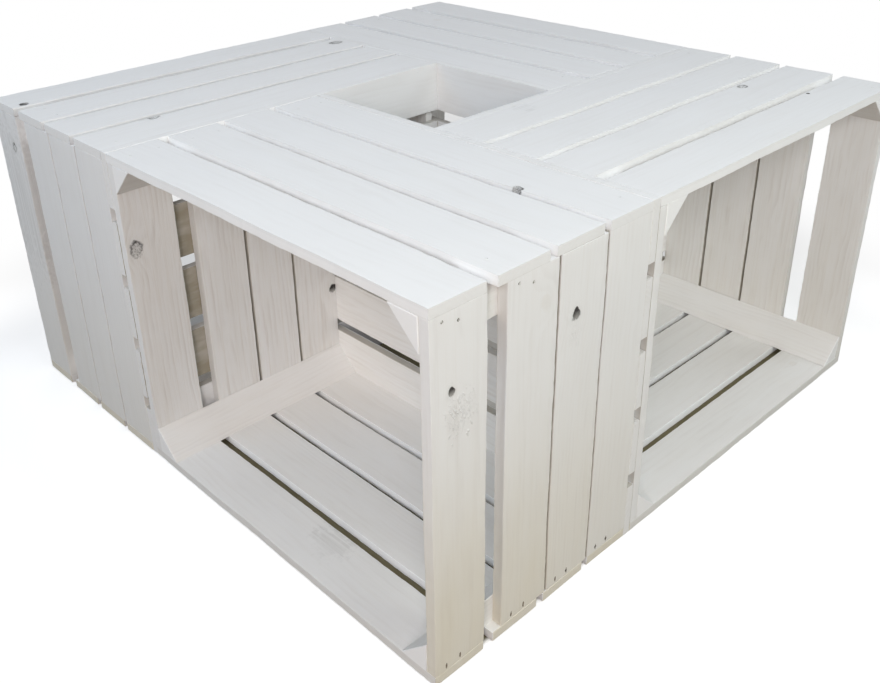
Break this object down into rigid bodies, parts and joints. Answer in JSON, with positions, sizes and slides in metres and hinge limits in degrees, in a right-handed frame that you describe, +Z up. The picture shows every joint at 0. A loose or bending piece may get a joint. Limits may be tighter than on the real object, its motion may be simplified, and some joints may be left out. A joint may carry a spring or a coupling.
{
  "type": "crate coffee table with four kindling boxes",
  "caption": "Low square table of whitewashed slatted wooden crates set in a pinwheel round an open centre well; the open boxes hold kindling, logs or magazines.",
  "frame": {"origin": "centre of the square underside, on the surface the table stands on", "axes": "+Z up; -Y is the face with the front crate's mouth, +X the face with the right crate's mouth; the crates follow each other by quarter turns about Z"},
  "size_m": [0.8, 0.8, 0.4],
  "materials": {
    "whitewashed_slat": "matt whitewash over pine grain",
    "whitewashed_post": "matt whitewash over pine grain",
    "nail_steel": "dull, painted over with the whitewash",
    "screw_steel": "zinc plated"
  },
  "bodies": {
    "root": {"front_crate_top_slat_1": "whitewashed_slat", "front_crate_top_slat_2": "whitewashed_slat", "front_crate_top_slat_3": "whitewashed_slat", "front_crate_top_slat_4": "whitewashed_slat", "front_crate_floor_slat_1": "whitewashed_slat", "front_crate_floor_slat_2": "whitewashed_slat", "front_crate_floor_slat_3": "whitewashed_slat", "front_crate_floor_slat_4": "whitewashed_slat", "front_crate_left_end_slats": "whitewashed_slat", "front_crate_right_end_slats": "whitewashed_slat", "front_crate_back_boards": "whitewashed_slat", "front_crate_upper_posts": "whitewashed_post", "front_crate_lower_posts": "whitewashed_post", "front_crate_nails": "nail_steel", "right_crate_top_slat_1": "whitewashed_slat", "right_crate_top_slat_2": "whitewashed_slat", "right_crate_top_slat_3": "whitewashed_slat", "right_crate_top_slat_4": "whitewashed_slat", "right_crate_floor_slat_1": "whitewashed_slat", "right_crate_floor_slat_2": "whitewashed_slat", "right_crate_floor_slat_3": "whitewashed_slat", "right_crate_floor_slat_4": "whitewashed_slat", "right_crate_left_end_slats": "whitewashed_slat", "right_crate_right_end_slats": "whitewashed_slat", "right_crate_back_boards": "whitewashed_slat", "right_crate_upper_posts": "whitewashed_post", "right_crate_lower_posts": "whitewashed_post", "right_crate_nails": "nail_steel", "rear_crate_top_slat_1": "whitewashed_slat", "rear_crate_top_slat_2": "whitewashed_slat", "rear_crate_top_slat_3": "whitewashed_slat", "rear_crate_top_slat_4": "whitewashed_slat", "rear_crate_floor_slat_1": "whitewashed_slat", "rear_crate_floor_slat_2": "whitewashed_slat", "rear_crate_floor_slat_3": "whitewashed_slat", "rear_crate_floor_slat_4": "whitewashed_slat", "rear_crate_left_end_slats": "whitewashed_slat", "rear_crate_right_end_slats": "whitewashed_slat", "rear_crate_back_boards": "whitewashed_slat", "rear_crate_upper_posts": "whitewashed_post", "rear_crate_lower_posts": "whitewashed_post", "rear_crate_nails": "nail_steel", "left_crate_top_slat_1": "whitewashed_slat", "left_crate_top_slat_2": "whitewashed_slat", "left_crate_top_slat_3": "whitewashed_slat", "left_crate_top_slat_4": "whitewashed_slat", "left_crate_floor_slat_1": "whitewashed_slat", "left_crate_floor_slat_2": "whitewashed_slat", "left_crate_floor_slat_3": "whitewashed_slat", "left_crate_floor_slat_4": "whitewashed_slat", "left_crate_left_end_slats": "whitewashed_slat", "left_crate_right_end_slats": "whitewashed_slat", "left_crate_back_boards": "whitewashed_slat", "left_crate_upper_posts": "whitewashed_post", "left_crate_lower_posts": "whitewashed_post", "left_crate_nails": "nail_steel", "joining_screws": "screw_steel"}
  },
  "joints": []
}
